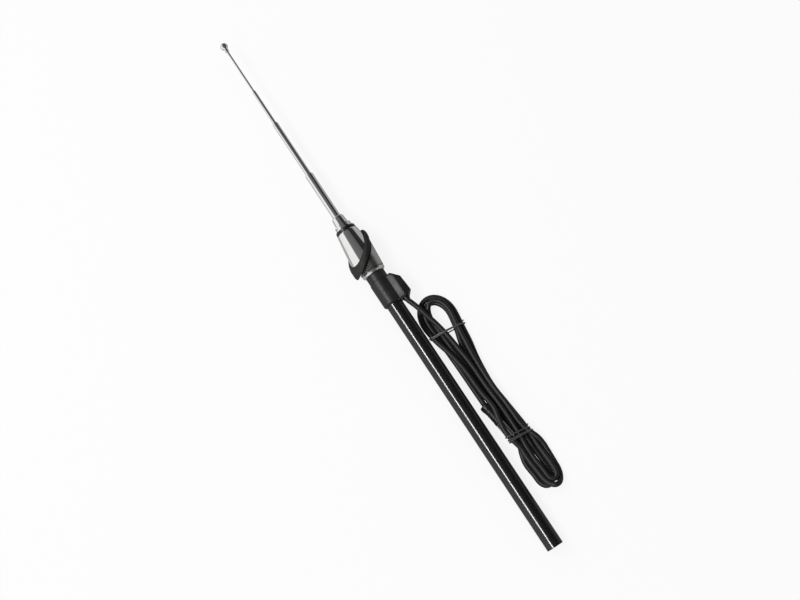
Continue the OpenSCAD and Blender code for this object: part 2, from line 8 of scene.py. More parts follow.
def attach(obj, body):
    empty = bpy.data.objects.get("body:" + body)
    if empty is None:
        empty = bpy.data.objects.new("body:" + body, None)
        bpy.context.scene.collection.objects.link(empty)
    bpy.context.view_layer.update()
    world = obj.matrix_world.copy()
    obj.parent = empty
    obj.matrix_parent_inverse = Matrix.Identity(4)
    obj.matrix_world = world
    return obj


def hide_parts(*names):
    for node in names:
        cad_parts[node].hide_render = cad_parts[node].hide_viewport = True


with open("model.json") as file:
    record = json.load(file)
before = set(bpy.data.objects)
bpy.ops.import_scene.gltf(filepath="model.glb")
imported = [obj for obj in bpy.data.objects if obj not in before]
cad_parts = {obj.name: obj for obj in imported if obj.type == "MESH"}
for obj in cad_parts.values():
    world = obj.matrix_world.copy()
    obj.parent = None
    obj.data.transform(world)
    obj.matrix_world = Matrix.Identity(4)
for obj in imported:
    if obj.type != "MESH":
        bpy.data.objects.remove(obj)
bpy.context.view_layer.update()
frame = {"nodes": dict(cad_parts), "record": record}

bl_info = {
    "name": "Telescopic radio aerial",
    "version": (1, 0, 0),
    "blender": (4, 5, 0),
    "location": "View3D > Sidebar > Aerial",
    "description": "Finishes, lead and stage for a vehicle's telescopic aerial",
    "category": "Object",
}

MM = 0.001
IMAGE_W = 800
SENSOR = 36.0

# How the aerial lies: its axis rises by the lean, and station 0 is the top of the black sleeve
LEAN = math.radians(1.201006)
AXIS_FOOT = Vector((9.4939, 1.23935, 14.24431))
SLOPE = math.radians(48)
SLOPE_TURN = math.radians(50)

# The chrome cone and the gasket on its slanted cut, in millimetres; the droop of its lower edge is the scene's own
CONE_CUT = 30.8
CONE_TOP = 48.7
CONE_TOP_R = 10.7
CONE_ANGLE = math.radians(7.5)
GASKET_T = 6.8
GASKET_R = 16.5
GASKET_SHIFT = 1.9
GASKET_EDGE = 1.4
GASKET_BORE_R = 7.0
GASKET_SIDES = 120
GASKET_DROOP = 4.6
DROOP_TURN = math.radians(-35)
DROOP_POWER = 5

# The lead's route from the gland to the hank
LEAD_ROUTE = (
    (-25.6, -11.25, 13.55), (-28.5, -11.3, 13.5), (-31.5, -12.4, 13.4), (-35.5, -13.8, 13.2),
    (-42.0, -15.8, 12.9), (-48.5, -17.5, 12.1), (-55.0, -19.2, 11.2), (-62.3, -21.0, 10.2),
)
# The seven runs of the hank: (y, z) of each at these places along it
RUN_X = (-57, -74, -90, -109, -137, -155, -168, -182, -191, -199, -206, -214, -226)
FLAT = 2.5
RUNS = (
    (None, (-23.2, 8.9), (-25.0, 7.9), (-26.8, 7.6), (-27.3, 7.6), (-28.3, 7.6), (-28.5, 7.6), (-28.4, 7.6),
     (-28.0, 7.6), (-27.0, 7.6), (-26.9, 7.6), (-26.8, 7.6), (-28.0, 7.6)),
    ((-41.9, FLAT), (-40.0, FLAT), (-38.1, FLAT), (-34.7, FLAT), (-32.6, FLAT), (-34.0, FLAT), (-35.2, FLAT),
     (-36.4, FLAT), (-36.6, FLAT), (-36.6, 2.6), (-36.5, 4.0), (-36.8, 5.6), (-37.2, 6.6)),
    ((-9.6, 4.0), (-11.6, 7.2), (-15.6, 7.6), (-18.9, 7.6), (-20.2, 8.3), (-22.0, 10.9), (-19.8, 12.8),
     (-18.4, 13.0), (-20.2, 11.8), (-22.0, 9.6), (-22.0, 8.9), (-22.0, 8.8), (-23.1, 8.8)),
    ((-38.3, 7.4), (-36.2, 7.4), (-34.4, 7.5), (-32.8, 7.6), (-32.3, 7.6), (-33.5, 7.6), (-33.9, 7.6),
     (-34.6, 7.6), (-37.4, 7.6), (-40.4, 6.2), (-41.4, 3.8), (-41.2, FLAT), (-40.6, FLAT)),
    ((-19.2, 4.0), (-19.7, 4.0), (-20.2, 3.2), (-22.4, FLAT), (-22.5, FLAT), (-23.9, FLAT), (-25.6, FLAT),
     (-26.0, FLAT), (-24.6, FLAT), (-21.6, FLAT), (-19.1, FLAT), (-17.6, FLAT), (-18.6, FLAT)),
    ((-36.7, FLAT), (-34.1, FLAT), (-29.8, FLAT), (-28.9, FLAT), (-27.6, FLAT), (-28.95, FLAT), (-30.6, FLAT),
     (-31.3, FLAT), (-31.75, 3.8), (-31.75, 3.8), (-31.7, FLAT), (-32.1, FLAT), (-32.4, FLAT)),
    ((-14.4, FLAT), (-14.9, FLAT), (-15.2, FLAT), (-15.7, FLAT), (-16.0, FLAT)),
)
# The bends between them: farthest x, where the strand starts and ends its change of height, its hump, and the
# power that makes its end full (1 for an ellipse)
BENDS = (
    (-238.3, 0.2, 1.0, 0.0, 0.55), (-35.4, 0.8, 1.0, 0.0, 1.0), (-243.9, 0.42, 0.8, 1.4, 0.95),
    (-40.8, 0.68, 1.0, 0.4, 0.9), (-240.2, 0.0, 1.0, 0.0, 0.65), (-40.6, 0.0, 1.0, 0.0, 1.0),
)
BEND_POINTS = 9
LEAD_STEP = 1.5

# The plug at the lead's end
PLUG_AT = Vector((-148.5, -16.2, 5.5))
PLUG_CONTACT_R = 4.65
PLUG_CONTACT_END = 37
PLUG_TURN = math.radians(8)

# The ties: points on each turn of wire, and on the circle that stands for a strand
TURN_POINTS = 120
STRAND_POINTS = 48

# What shiny surfaces mirror: level at each angle in degrees, from the zenith round the X axis, + is the -Y side
# Past ±90 degrees these are the floor's glow to mirrors, a painted reflection: lower near the aerial as painted
# shadow, with a dark line about 50 mm out on the +Y side
MIRRORED = (
    (-180, 0.45), (-109, 0.5), (-107, 0.2), (-105, 0.25), (-102, 0.95), (-42, 1.0), (-37, 0.2), (-30, 0.17),
    (22, 0.12), (32, 0.022), (71, 0.03), (79, 0.4), (112, 0.45), (118, 0.3), (180, 0.4),
)
# The stage, in metres: the floor, how far below the axis a mirrored floor lies, and the lamps' places and sizes
FLOOR_SIZE = 12
FLOOR_AT = -0.0002
FLOOR_GLOW = 0.84
FLOOR_DROP = 0.015
STRIP_PLACE, STRIP_SIZE = (0.35, 0.75, 1.5), (2.6, 0.5)
GLINT_PLACE, GLINT_SIZE = (0.35, 0.82, 1.43), (2.8, 0.24)
# The slots on which the sheen lamp shows
SHEEN_SLOTS = (
    "black_moulding", "cover_plastic", "black_insulator", "black_rubber", "lead_sheath", "tie_plastic",
)


# Helpers


def laid():
    """The matrix from the aerial's own axis (along X, in millimetres) to the frame, in metres."""
    turn = Matrix.Rotation(-LEAN, 4, "Y")
    return Matrix.Scale(MM, 4) @ Matrix.Translation(AXIS_FOOT) @ turn


def plug_frame():
    """The matrix from the plug's own axis (+Z towards its pin, in millimetres) to the frame."""
    turn = Matrix.Rotation(PLUG_TURN, 4, "Z") @ Matrix.Rotation(-math.pi / 2, 4, "Y")
    return Matrix.Scale(MM, 4) @ Matrix.Translation(PLUG_AT) @ turn


def settings():
    """The values that the panel shows."""
    return bpy.context.scene.aerial


def start_fresh():
    """Leaves edit mode with nothing selected."""
    if bpy.context.object and bpy.context.object.mode != "OBJECT":
        bpy.ops.object.mode_set(mode="OBJECT")
    bpy.ops.object.select_all(action="DESELECT")


def settle(obj, matrix):
    """Puts a piece that was modelled in millimetres at its place, with that place in its mesh."""
    obj.data.transform(matrix @ obj.matrix_world)
    obj.matrix_world = Matrix.Identity(4)
    obj.data.update()


def mend_normals(obj):
    """Merges points that coincide and turns all faces outwards."""
    start_fresh()
    bpy.context.view_layer.objects.active = obj
    obj.select_set(True)
    bpy.ops.object.mode_set(mode="EDIT")
    bpy.ops.mesh.select_all(action="SELECT")
    bpy.ops.mesh.remove_doubles(threshold=1e-6)
    bpy.ops.mesh.normals_make_consistent(inside=False)
    bpy.ops.object.mode_set(mode="OBJECT")


def smooth_by_angle(obj, degrees):
    """Shades smooth, but for edges sharper than the angle."""
    start_fresh()
    bpy.context.view_layer.objects.active = obj
    obj.select_set(True)
    bpy.ops.object.shade_smooth_by_angle(angle=math.radians(degrees))


def lathe(name, profile, sides=64, ring=False):
    """Stacks rings of (radius, height) by extruding a circle upwards and scaling it.

    Both ends are closed, or the last ring is bridged to the first one.
    """
    start_fresh()
    r0, h0 = profile[0]
    fill = "NOTHING" if ring else "NGON"
    bpy.ops.mesh.primitive_circle_add(vertices=sides, radius=r0, fill_type=fill, location=(0, 0, h0))
    obj = bpy.context.object
    obj.name = obj.data.name = name
    bpy.ops.object.mode_set(mode="EDIT")
    bpy.ops.mesh.select_mode(type="EDGE")
    bpy.ops.mesh.select_all(action="SELECT")
    last_r, last_h = r0, h0
    for r, h in profile[1:]:
        bpy.ops.mesh.extrude_region_move(TRANSFORM_OT_translate={"value": (0, 0, h - last_h)})
        k = r / last_r
        bpy.ops.transform.resize(value=(k, k, 1), center_override=(0, 0, h))
        last_r, last_h = r, h
    if ring:
        bpy.ops.mesh.select_all(action="DESELECT")
        bpy.ops.mesh.select_non_manifold()
        bpy.ops.mesh.bridge_edge_loops()
    else:
        bpy.ops.mesh.edge_face_add()
    bpy.ops.object.mode_set(mode="OBJECT")
    return obj


def tube_curve(name, points, radius):
    """A round cord through points in metres, as a curve of one open spline."""
    curve = bpy.data.curves.new(name, "CURVE")
    curve.dimensions = "3D"
    curve.bevel_depth = radius
    curve.bevel_resolution = 4
    curve.use_fill_caps = True
    spline = curve.splines.new("POLY")
    spline.points.add(len(points) - 1)
    for place, p in zip(spline.points, points):
        place.co = (p[0], p[1], p[2], 1)
    spline.use_smooth = True
    obj = bpy.data.objects.new(name, curve)
    bpy.context.scene.collection.objects.link(obj)
    return obj


def flowing(points, step):
    """Points a step apart on a smooth line through the given points."""
    pts = [Vector(p) for p in points]
    out = []
    for i in range(len(pts) - 1):
        p1, p2 = pts[i], pts[i + 1]
        p0 = pts[i - 1] if i else p1 * 2 - p2
        p3 = pts[i + 2] if i + 2 < len(pts) else p2 * 2 - p1
        t0, t1, t2 = [max((b - a).length, 1e-9) ** 0.5 for a, b in ((p0, p1), (p1, p2), (p2, p3))]
        m1 = ((p1 - p0) / t0 - (p2 - p0) / (t0 + t1) + (p2 - p1) / t1) * t1
        m2 = ((p2 - p1) / t1 - (p3 - p1) / (t1 + t2) + (p3 - p2) / t2) * t1
        count = max(2, int((p2 - p1).length / step))
        for k in range(count):
            u = k / count
            a = 2 * u ** 3 - 3 * u ** 2 + 1
            b = u ** 3 - 2 * u ** 2 + u
            out.append(p1 * a + m1 * b + p2 * (1 - a) + m2 * (u ** 3 - u ** 2))
    out.append(pts[-1])
    return out


# Shader helpers


class Link:
    """A socket whose arithmetic adds Math nodes."""

    def __init__(self, nodes, socket):
        self.nodes = nodes
        self.socket = socket

    def math(self, operation, first, second):
        return self.nodes.add("ShaderNodeMath", {"operation": operation}, {0: first, 1: second})

    def __add__(self, other):
        return self.math("ADD", self, other)

    def __mul__(self, other):
        return self.math("MULTIPLY", self, other)

    def __rsub__(self, other):
        return self.math("SUBTRACT", other, self)

    __radd__ = __add__


class Nodes:
    """Adds nodes to an emptied node tree."""

    def __init__(self, tree):
        self.tree = tree
        tree.nodes.clear()

    def surface(self, kind, shader):
        """Ends the tree with an output node of the given kind."""
        self.tree.links.new(shader.socket, self.tree.nodes.new(kind).inputs["Surface"])

    def by_ray(self, plain, seen, mirrored):
        """One shader for light, one for the camera and one for reflections."""
        camera = self.add("ShaderNodeLightPath", {}, {}, "Is Camera Ray")
        glossy = self.add("ShaderNodeLightPath", {}, {}, "Is Glossy Ray")
        pick = self.add("ShaderNodeMixShader", {}, {0: camera, 1: plain, 2: seen})
        return self.add("ShaderNodeMixShader", {}, {0: glossy, 1: pick, 2: mirrored})

    def around(self, across, up):
        """The level mirrored from a direction, by its angle from the zenith round the X axis."""
        turned = self.add("ShaderNodeMath", {"operation": "ARCTAN2"}, {0: 0 - across, 1: up})
        return self.ramp(turned * (0.5 / math.pi) + 0.5, *[(a / 360 + 0.5, v) for a, v in MIRRORED])

    def add(self, kind, settings=None, values=None, output=0):
        """Adds a node: its settings first, then the values or links of its sockets."""
        node = self.tree.nodes.new(kind)
        for key, value in (settings or {}).items():
            setattr(node, key, value)
        for key, value in (values or {}).items():
            if isinstance(value, Link):
                self.tree.links.new(value.socket, node.inputs[key])
            else:
                node.inputs[key].default_value = value
        return Link(self, node.outputs[output])

    def ramp(self, factor, *stops):
        """Grey levels that run straight from stop to stop, given as (place, value)."""
        node = self.tree.nodes.new("ShaderNodeValToRGB")
        elements = node.color_ramp.elements
        while len(elements) < len(stops):
            elements.new(0.5)
        for element, (place, value) in zip(elements, stops):
            element.position = place
            element.color = (value, value, value, 1)
        self.tree.links.new(factor.socket, node.inputs[0])
        return Link(self, node.outputs[0])


class Finish(Nodes):
    """A node-based material with one Principled shader."""

    def __init__(self, name):
        self.material = bpy.data.materials.new(name)
        self.material.use_nodes = True
        super().__init__(self.material.node_tree)
        self.shader = self.tree.nodes.new("ShaderNodeBsdfPrincipled")
        self.surface("ShaderNodeOutputMaterial", Link(self, self.shader.outputs[0]))
        self.where = self.add("ShaderNodeTexCoord", {}, {}, "Object")

    def stretched(self, along, across):
        """Object coordinates in grains per metre, with X along the mast."""
        return self.add("ShaderNodeMapping", {}, {
            "Vector": self.where, "Rotation": (0, LEAN, 0), "Scale": (along, across, across)})

    def noise(self, vector, scale, detail=3.0):
        return self.add("ShaderNodeTexNoise", {}, {"Vector": vector, "Scale": scale, "Detail": detail})

    def spread(self, factor, low, high):
        """Takes a texture's usual range of 0.3 to 0.7 to the range from low to high."""
        return self.add("ShaderNodeMapRange", {}, {
            "Value": factor, "From Min": 0.3, "From Max": 0.7, "To Min": low, "To Max": high})

    def mix(self, factor, first, second):
        return self.add("ShaderNodeMix", {"data_type": "RGBA"}, {0: factor, 6: first, 7: second}, 2)

    def bump(self, height, strength, distance):
        return self.add("ShaderNodeBump", {}, {
            "Height": height, "Strength": strength, "Distance": distance})

    def set(self, **values):
        """Sets the Principled shader's sockets by name, with _ for a space."""
        for key, value in values.items():
            socket = self.shader.inputs[key.replace("_", " ")]
            if isinstance(value, Link):
                self.tree.links.new(value.socket, socket)
            else:
                socket.default_value = value
        return self.material


def rgba(colour, k=1.0):
    """A colour made k times as bright, with its alpha."""
    return (colour[0] * k, colour[1] * k, colour[2] * k, 1.0)


# Materials


def chrome(name, colour, rough, drawn):
    """Bright plate with faint drawing lines along the tube and a thin haze of wear."""
    f = Finish(name)
    lines = f.noise(f.stretched(6, 2600), 1.0, 2.0)
    haze = f.noise(f.where, 90.0, 4.0)
    specks = f.ramp(f.noise(f.where, 900.0, 2.0), (0.62, 0), (0.72, 1))
    roughness = f.spread(haze, rough * 0.7, rough * 1.6) + specks * 0.12
    tone = f.mix(f.spread(haze, 0, 1), rgba(colour, 0.93), rgba(colour))
    return f.set(Base_Color=tone, Metallic=1.0, Roughness=roughness + lines * drawn,
                 Normal=f.bump(lines, 0.05, 0.00004))


def brass(name, colour):
    """Plain brass, drawn and unevenly tarnished."""
    f = Finish(name)
    stain = f.noise(f.where, 160.0, 5.0)
    lines = f.noise(f.stretched(40, 1500), 1.0)
    tone = f.mix(f.spread(stain, 0, 1), rgba(colour, 0.72), rgba(colour))
    return f.set(Base_Color=tone, Metallic=1.0, Roughness=f.spread(stain, 0.22, 0.42),
                 Normal=f.bump(lines, 0.2, 0.00005))


def cast_alloy(name, colour):
    """Satin die casting: fine grain, soft flow marks and a little dirt."""
    f = Finish(name)
    grain = f.noise(f.where, 2600.0, 3.0)
    flow = f.noise(f.stretched(120, 45), 1.0, 4.0)
    tone = f.mix(f.spread(flow, 0, 1), rgba(colour, 0.82), rgba(colour, 1.08))
    return f.set(Base_Color=tone, Metallic=1.0, Roughness=f.spread(flow, 0.3, 0.46),
                 Normal=f.bump(grain, 0.12, 0.00006))


def moulding(name, colour, rough, grain_scale, grain_depth, tint=0.35):
    """Black plastic or rubber with a fine moulded grain and slightly uneven shine."""
    f = Finish(name)
    grain = f.noise(f.where, grain_scale, 2.0)
    cloud = f.noise(f.where, 120.0, 4.0)
    tone = f.mix(f.spread(cloud, 0, 1), rgba(colour, tint * 0.8), rgba(colour, tint * 1.2))
    return f.set(Base_Color=tone, Roughness=f.spread(cloud, rough * 0.85, rough * 1.18),
                 Specular_IOR_Level=0.3, Normal=f.bump(grain, 0.12, grain_depth * 0.5))


def gloss_coat(name, colour):
    """Glossy black sheath drawn over a tube: a slight orange peel and fine rub marks."""
    f = Finish(name)
    peel = f.noise(f.stretched(90, 260), 1.0, 2.0)
    rubs = f.ramp(f.noise(f.stretched(30, 900), 1.0, 5.0), (0.55, 0), (0.75, 1))
    tone = f.mix(rubs, rgba(colour, 0.35), rgba(colour, 0.7))
    return f.set(Base_Color=tone, Roughness=0.17 + rubs * 0.1, Specular_IOR_Level=0.42,
                 Normal=f.bump(peel, 0.04, 0.0002))


def sheath(name, colour):
    """The lead's smooth sheath, with the faint print of its braid."""
    f = Finish(name)
    braid = f.noise(f.where, 1100.0, 2.0)
    cloud = f.noise(f.where, 60.0, 3.0)
    tone = f.mix(f.spread(cloud, 0, 1), rgba(colour, 0.28), rgba(colour, 0.45))
    return f.set(Base_Color=tone, Roughness=f.spread(cloud, 0.46, 0.56), Specular_IOR_Level=0.35,
                 Normal=f.bump(braid, 0.02, 0.00002))


MAKERS = {
    "bright_chrome": lambda n, c: chrome(n, c, 0.05, 0.05),
    "head_chrome": lambda n, c: chrome(n, c, 0.035, 0.02),
    "brass": brass,
    "plated_steel": lambda n, c: chrome(n, c, 0.16, 0.1),
    "cast_alloy": cast_alloy,
    "black_gloss": gloss_coat,
    "black_moulding": lambda n, c: moulding(n, c, 0.42, 1800.0, 0.00008),
    "cover_plastic": lambda n, c: moulding(n, c, 0.45, 1500.0, 0.0001, 1.6),
    "black_insulator": lambda n, c: moulding(n, c, 0.34, 1500.0, 0.00005),
    "black_rubber": lambda n, c: moulding(n, c, 0.62, 1300.0, 0.00015),
    "lead_sheath": sheath,
    "tie_plastic": lambda n, c: moulding(n, c, 0.28, 2400.0, 0.00004, 0.8),
    "ivory_plastic": lambda n, c: moulding(n, c, 0.4, 1500.0, 0.00005, 1.0),
}


def finish_of(slot):
    """The material of a slot of the record, made when it is first asked for."""
    made = bpy.data.materials.get(slot)
    if made and made.get("aerial"):
        return made
    if made:
        made.name = slot + "_packed"
    for entry in frame["record"]["materials"]:
        if entry["slot"] == slot:
            material = MAKERS[slot](slot, entry["base_color"])
            material["aerial"] = True
            return material
    raise RuntimeError("no slot " + slot)


def dress(obj, slot, body="base"):
    """Gives a new piece its material, its body and its slot."""
    obj.data.materials.clear()
    obj.data.materials.append(finish_of(slot))
    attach(obj, body)


# Settings


class AerialCamera(bpy.types.PropertyGroup):
    focal: bpy.props.FloatProperty(
        name="Focal length", description="Focal length in pixels of the image", default=1250.0, min=200.0)
    distance: bpy.props.FloatProperty(
        name="Distance", description="From the camera to the middle of the picture", default=1.1612, unit="LENGTH")
    tilt: bpy.props.FloatProperty(
        name="Tilt", description="Lean of the view towards the tube's lower end", default=math.radians(13.2),
        subtype="ANGLE")
    roll: bpy.props.FloatProperty(
        name="Roll", description="Turn of the picture round the line of sight", default=0.9845, subtype="ANGLE")
    target: bpy.props.FloatVectorProperty(
        name="Target", description="Point in the middle of the picture", default=(-0.02466, -0.00508, 0.015),
        subtype="TRANSLATION")


class AerialLead(bpy.types.PropertyGroup):
    diameter: bpy.props.FloatProperty(
        name="Diameter", description="Outside diameter of the coaxial lead", default=0.005, unit="LENGTH")
    tie_wire: bpy.props.FloatProperty(
        name="Tie wire", description="Diameter of the ties' coated wire", default=0.0012, unit="LENGTH")


class AerialStage(bpy.types.PropertyGroup):
    floor_colour: bpy.props.FloatVectorProperty(
        name="Floor", description="Colour of the floor", default=(0.8, 0.8, 0.8), subtype="COLOR")
    ambient: bpy.props.FloatProperty(
        name="Ambient light", description="Level of the light from all round", default=0.55)
    strip_power: bpy.props.FloatProperty(
        name="Strip lamp", description="Power of the long lamp, in watts", default=14.0)
    glint_power: bpy.props.FloatProperty(
        name="Glint lamp", description="Power of the narrow lamp mirrored in the black tube", default=105.0)
    sheen_power: bpy.props.FloatProperty(
        name="Sheen lamp", description="Power of the lamp mirrored in the plastics", default=40.0)


class AerialSettings(bpy.types.PropertyGroup):
    camera: bpy.props.PointerProperty(type=AerialCamera)
    lead: bpy.props.PointerProperty(type=AerialLead)
    stage: bpy.props.PointerProperty(type=AerialStage)


# Operators


class AERIAL_OT_camera(bpy.types.Operator):
    """Adds the camera at the photograph's viewing angle"""
    bl_idname = "aerial.camera"
    bl_label = "Camera"

    def execute(self, context):
        c = settings().camera
        back = Vector((-math.sin(c.tilt), 0, math.cos(c.tilt)))
        along = Vector((-math.cos(c.tilt), 0, -math.sin(c.tilt)))
        aside = back.cross(along)
        right = along * math.cos(c.roll) + aside * math.sin(c.roll)
        up = aside * math.cos(c.roll) - along * math.sin(c.roll)
        data = bpy.data.cameras.new("view")
        data.sensor_fit = "HORIZONTAL"
        data.sensor_width = SENSOR
        data.lens = c.focal / IMAGE_W * SENSOR
        data.clip_end = 50
        camera = bpy.data.objects.new("view", data)
        context.scene.collection.objects.link(camera)
        turn = Matrix((right, up, back)).transposed().to_4x4()
        camera.matrix_world = Matrix.Translation(Vector(c.target) + back * c.distance) @ turn
        context.scene.camera = camera
        return {"FINISHED"}


def bend(a, b, far_x, climb_from, climb_to, hump, power):
    """Points of a half turn from a to b round one end of the hank."""
    out = []
    for i in range(1, BEND_POINTS + 1):
        share = i / (BEND_POINTS + 1)
        turned = math.pi * share
        w = (1 - math.cos(turned)) / 2
        x = a[0] + (b[0] - a[0]) * w
        c = min(1.0, max(0.0, (share - climb_from) / (climb_to - climb_from)))
        z = a[2] + (b[2] - a[2]) * (3 * c * c - 2 * c ** 3) + hump * math.sin(turned) ** 2
        out.append((x + (far_x - x) * math.sin(turned) ** power, a[1] + (b[1] - a[1]) * w, z))
    return out


def lead_line():
    """The lead's centreline in millimetres: its route to the hank, the runs and bends, and the plug."""
    line = list(LEAD_ROUTE)
    last = None
    for i, run in enumerate(RUNS):
        places = [(x, yz[0], yz[1]) for x, yz in zip(RUN_X, run) if yz]
        if i % 2:
            places.reverse()
        if last:
            line += bend(last, places[0], *BENDS[i - 1])
        line += places
        last = places[-1]
    line.append(tuple(PLUG_AT))
    return [Vector((p.x, p.y, max(p.z, FLAT))) for p in flowing(line, LEAD_STEP)]


class AERIAL_OT_lead(bpy.types.Operator):
    """Lays the coaxial lead from its gland through the hank to its plug"""
    bl_idname = "aerial.lead"
    bl_label = "Lead"

    def execute(self, context):
        d = settings().lead.diameter
        points = [p * MM for p in lead_line()]
        lead = tube_curve("coaxial_lead", points, d / 2)
        dress(lead, "lead_sheath")
        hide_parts("cable_lead", "cable_hank")
        grip = make_grip()
        ties = [make_upper_tie(), make_lower_tie()]
        return {"FINISHED"}


def make_grip():
    """The plug's moulded grip: rear flange, waist, grip ribs and nose."""
    profile = [
        (0.5, 0), (3.2, 0), (4.9, 0.3), (5.35, 0.8), (5.5, 1.5), (5.5, 4.2), (5.3, 5.0), (5.0, 5.7), (4.9, 7.2),
    ]
    first_rib, pitch, ribs = 8.0, 2.0, 5
    for i in range(ribs):
        at = first_rib + i * pitch
        profile += [(4.75, at), (4.75, at + 0.9), (4.4, at + 1.15), (4.4, at + 1.75)]
    profile += [(4.8, 18.4), (4.85, 21.6), (4.6, 22.0), (0.5, 22.0)]
    grip = lathe("moulded_grip", profile)
    settle(grip, plug_frame())
    mend_normals(grip)
    smooth_by_angle(grip, 40)
    dress(grip, "black_insulator")
    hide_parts("plug_grip")
    return grip


def lanes_at(x):
    """Centre and radius (y, z, r) of every strand where it passes x, in millimetres."""
    points = lead_line()
    strand_r = settings().lead.diameter / MM / 2
    out = []
    for a, b in zip(points, points[1:]):
        if (a.x - x) * (b.x - x) < 0:
            p = a.lerp(b, (x - a.x) / (b.x - a.x))
            out.append((p.y, p.z, strand_r))
    return out


def hull(points):
    """The convex outline round points in a plane, counter-clockwise."""
    def half(ordered):
        chain = []
        for p in ordered:
            while len(chain) > 1:
                (ay, az), (by, bz) = chain[-2], chain[-1]
                if (by - ay) * (p[1] - az) - (bz - az) * (p[0] - ay) > 0:
                    break
                chain.pop()
            chain.append(p)
        return chain[:-1]

    ordered = sorted(set(points))
    return half(ordered) + half(ordered[::-1])


def girth(x, wire, extra=()):
    """The tight path of a wire's centre round all strands at x, as (y, z) in millimetres."""
    rounds = []
    for y, z, r in (*lanes_at(x), *extra):
        reach = r + wire / 2
        for i in range(STRAND_POINTS):
            a = 2 * math.pi * i / STRAND_POINTS
            rounds.append((y + reach * math.cos(a), max(z + reach * math.sin(a), wire / 2)))
    return hull(rounds)


def even(path):
    """One turn's places, evenly spaced along a closed path."""
    loop = [Vector(p) for p in path]
    loop.append(loop[0])
    lengths = [(b - a).length for a, b in zip(loop, loop[1:])]
    total = sum(lengths)
    out = []
    for k in range(TURN_POINTS):
        want = total * k / TURN_POINTS
        i = 0
        while want > lengths[i]:
            want -= lengths[i]
            i += 1
        out.append(loop[i].lerp(loop[i + 1], want / lengths[i]))
    return out


def wound(name, x, slant, turns, pitch, wire, extra=()):
    """Wire wound tightly round the hank: its turns a pitch apart, each slanting across."""
    points = []
    for turn in range(turns):
        at = x - turn * pitch
        path = even(girth(at, wire, extra))
        middle = sum(p[0] for p in path) / TURN_POINTS
        reach = max(abs(p[0] - middle) for p in path)
        for k, p in enumerate(path):
            step = pitch * k / TURN_POINTS if turn < turns - 1 else 0
            points.append(Vector((at - step + slant * (p[0] - middle) / reach, p[0], p[1])) * MM)
    return tube_curve(name, points, wire * MM / 2)


def make_upper_tie():
    """The upper tie: two turns of coated wire round the hank's neck."""
    tie = wound("upper_wire_tie", x=-69.6, slant=1.4, turns=2, pitch=3.2, wire=settings().lead.tie_wire / MM)
    dress(tie, "tie_plastic")
    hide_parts("upper_tie")
    return tie


def make_lower_tie():
    """The lower tie: coated wire, three times round the hank."""
    contact = (PLUG_AT.y - math.sin(PLUG_TURN) * PLUG_CONTACT_END, PLUG_AT.z, PLUG_CONTACT_R)
    tie = wound("lower_wire_tie", x=-183.5, slant=0.6, turns=3, pitch=3.4,
                wire=settings().lead.tie_wire / MM, extra=[contact])
    dress(tie, "tie_plastic")
    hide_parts("lower_tie")
    return tie


class AERIAL_OT_gasket(bpy.types.Operator):
    """Models the rubber gasket under the chrome cone"""
    bl_idname = "aerial.gasket"
    bl_label = "Gasket"

    def execute(self, context):
        rim = GASKET_EDGE / math.cos(SLOPE)
        low = CONE_CUT - GASKET_T
        # each ring: on the bore, the shifted rim (less so much) or the cone (plus so much); station; droop's share
        rows = [
            ("bore", 0.0, low, 0.0), ("rim", 3.2, low, 0.3), ("rim", GASKET_EDGE, low + 0.1, 0.9),
            ("rim", 0.4, low + rim * 0.35, 1.0), ("rim", 0.0, low + rim, 1.0), ("rim", 0.0, CONE_CUT - rim, 0.45),
            ("rim", 0.4, CONE_CUT - rim * 0.3, 0.4), ("rim", 1.2, CONE_CUT + 0.2, 0.3),
            ("cone", 1.6, CONE_CUT + 0.5, 0.0), ("cone", 0.9, CONE_CUT + 0.6, 0.0),
            ("cone", 0.05, CONE_CUT + 0.3, 0.0), ("cone", -0.1, CONE_CUT - 0.1, 0.0),
            ("bore", 0.0, CONE_CUT - 0.1, 0.0),
        ]
        rings = [(GASKET_R, i) for i in range(len(rows))]
        gasket = lathe("rubber_gasket", rings, GASKET_SIDES, ring=True)
        slope, flare = math.tan(SLOPE), math.tan(CONE_ANGLE)
        for v in gasket.data.vertices:
            kind, amount, station, share = rows[round(v.co.z + gasket.location.z)]
            turned = math.atan2(v.co.y, v.co.x)
            if kind == "bore":
                r, shift = GASKET_BORE_R, 0.0
            elif kind == "rim":
                r, shift = GASKET_R - amount, GASKET_SHIFT
            else:
                wall = CONE_TOP_R + (CONE_TOP - station) * flare
                r, shift = wall / (1 - slope * flare * math.cos(turned)) + amount, 0.0
            y, z = r * math.cos(turned) + shift, r * math.sin(turned)
            station -= share * GASKET_DROOP * max(0.0, math.cos(turned - DROOP_TURN)) ** DROOP_POWER
            v.co = (station - slope * y, y * math.cos(SLOPE_TURN) - z * math.sin(SLOPE_TURN),
                    y * math.sin(SLOPE_TURN) + z * math.cos(SLOPE_TURN))
        gasket.matrix_world = Matrix.Identity(4)
        settle(gasket, laid())
        mend_normals(gasket)
        smooth_by_angle(gasket, 50)
        dress(gasket, "black_rubber")
        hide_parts("gasket")
        return {"FINISHED"}


class AERIAL_OT_finishes(bpy.types.Operator):
    """Gives every carried-over solid its finish"""
    bl_idname = "aerial.finishes"
    bl_label = "Finishes"

    def execute(self, context):
        for part in frame["record"]["subparts"]:
            node = frame["nodes"][part["node"]]
            material = finish_of(part["material_slot"])
            if not node.material_slots:
                node.data.materials.append(material)
            for slot in node.material_slots:
                slot.material = material
        return {"FINISHED"}


